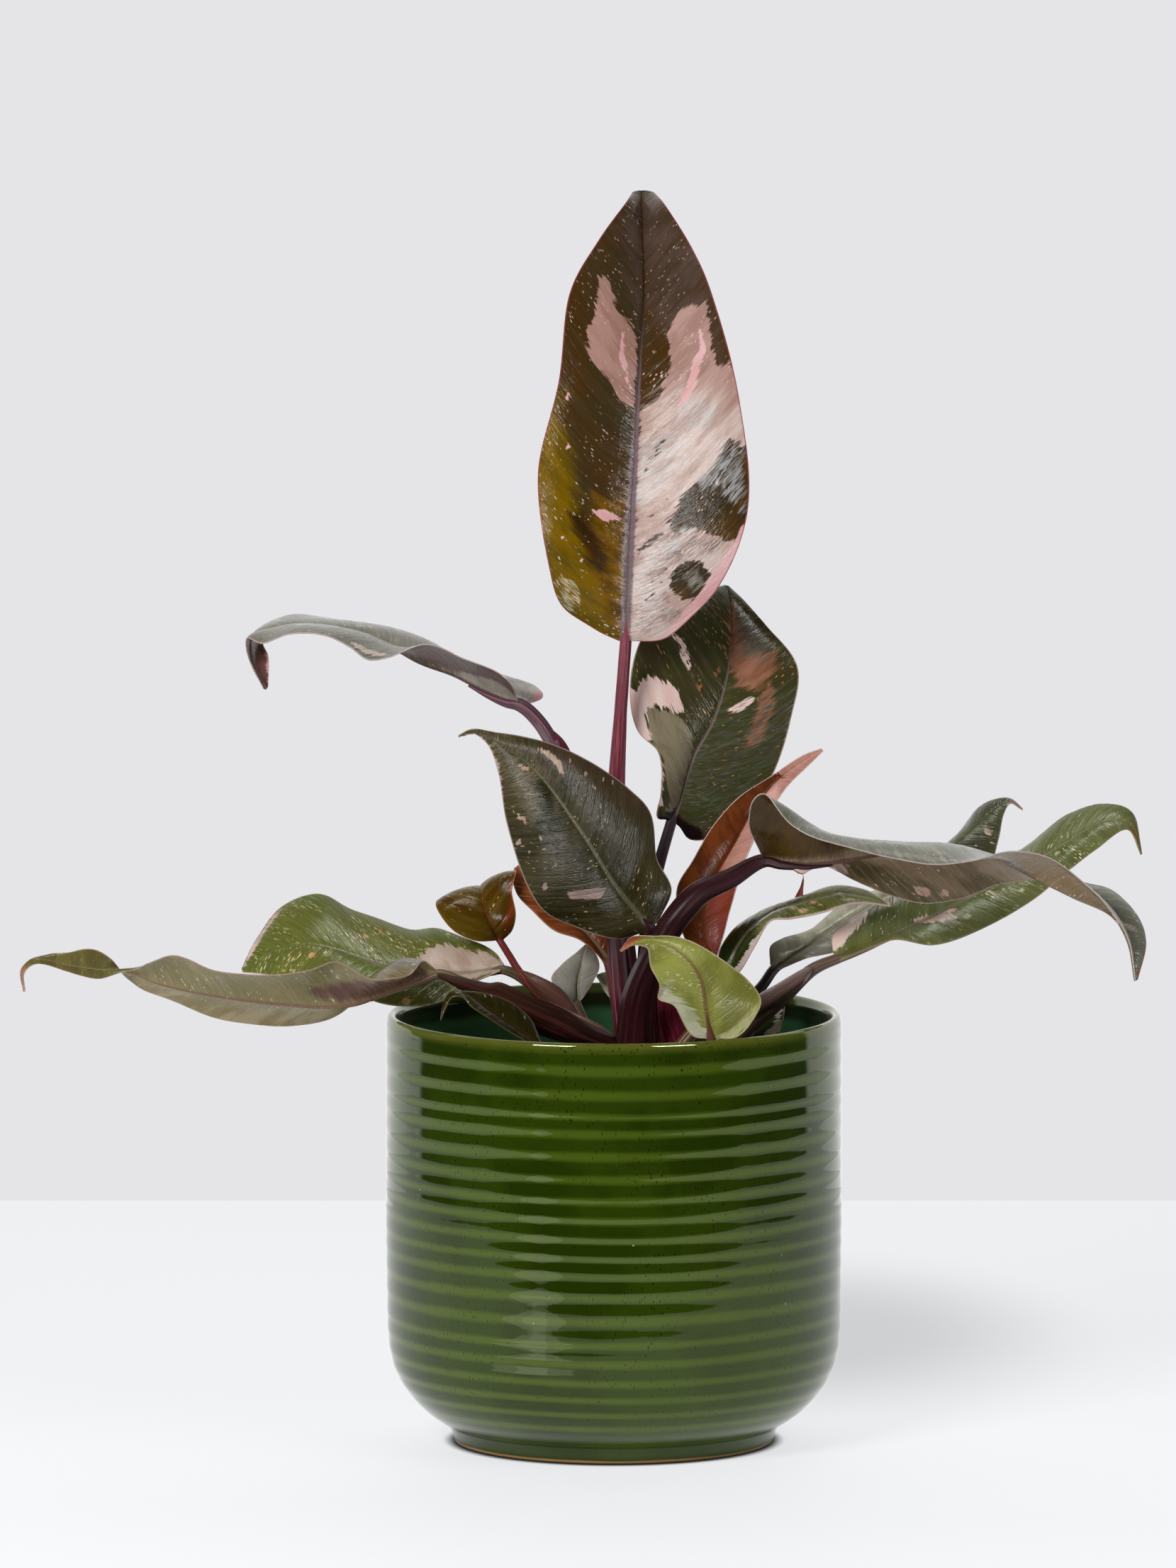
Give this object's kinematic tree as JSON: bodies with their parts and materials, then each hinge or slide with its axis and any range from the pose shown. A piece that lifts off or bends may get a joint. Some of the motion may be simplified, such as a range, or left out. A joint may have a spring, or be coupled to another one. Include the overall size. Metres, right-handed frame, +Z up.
{
  "type": "potted philodendron",
  "caption": "House plant with long arching variegated leaves on thick stalks, rooted in soil in a round, ribbed, glazed stoneware pot with a small foot.",
  "frame": {"origin": "centre of the flat underside of the pot's foot", "axes": "+Z up along the pot's axis, +X to the right and -Y towards the viewer of the reference view"},
  "size_m": [0.429, 0.1754, 0.4783],
  "materials": {
    "glaze": "gloss glaze on stoneware, green in the valleys and olive on the ridges, with brown specks",
    "soil": "matt, crumbly",
    "stalk": "satin, maroon to pink with paler stripes",
    "leaf_dark": "glossy, dark olive brown with dusty pink variegation",
    "leaf_deep_green": "glossy, dark green with cream flecks and pink patches",
    "leaf_green": "satin, mid green with cream specks and pale patches",
    "leaf_grey": "satin, grey green with pale pink margins and brown undersides",
    "leaf_olive": "glossy, olive",
    "leaf_russet": "glossy, orange brown with pale pink areas"
  },
  "bodies": {
    "root": {"pot": "glaze", "soil": "soil", "crown": "stalk", "leaf_tall": "leaf_dark", "leaf_left_high": "leaf_grey", "leaf_centre": "leaf_deep_green", "leaf_back": "leaf_deep_green", "leaf_rolled": "leaf_russet", "leaf_right_high": "leaf_grey", "leaf_right_grey": "leaf_grey", "leaf_right_green": "leaf_green", "leaf_right_small": "leaf_green", "leaf_front": "leaf_green", "leaf_right_dark": "leaf_deep_green", "leaf_left_low": "leaf_grey", "leaf_left_green": "leaf_green", "leaf_olive": "leaf_olive", "leaf_russet": "leaf_russet", "leaf_grey_small": "leaf_grey", "leaf_sage_small": "leaf_grey", "leaf_left_dark": "leaf_olive"}
  },
  "joints": []
}
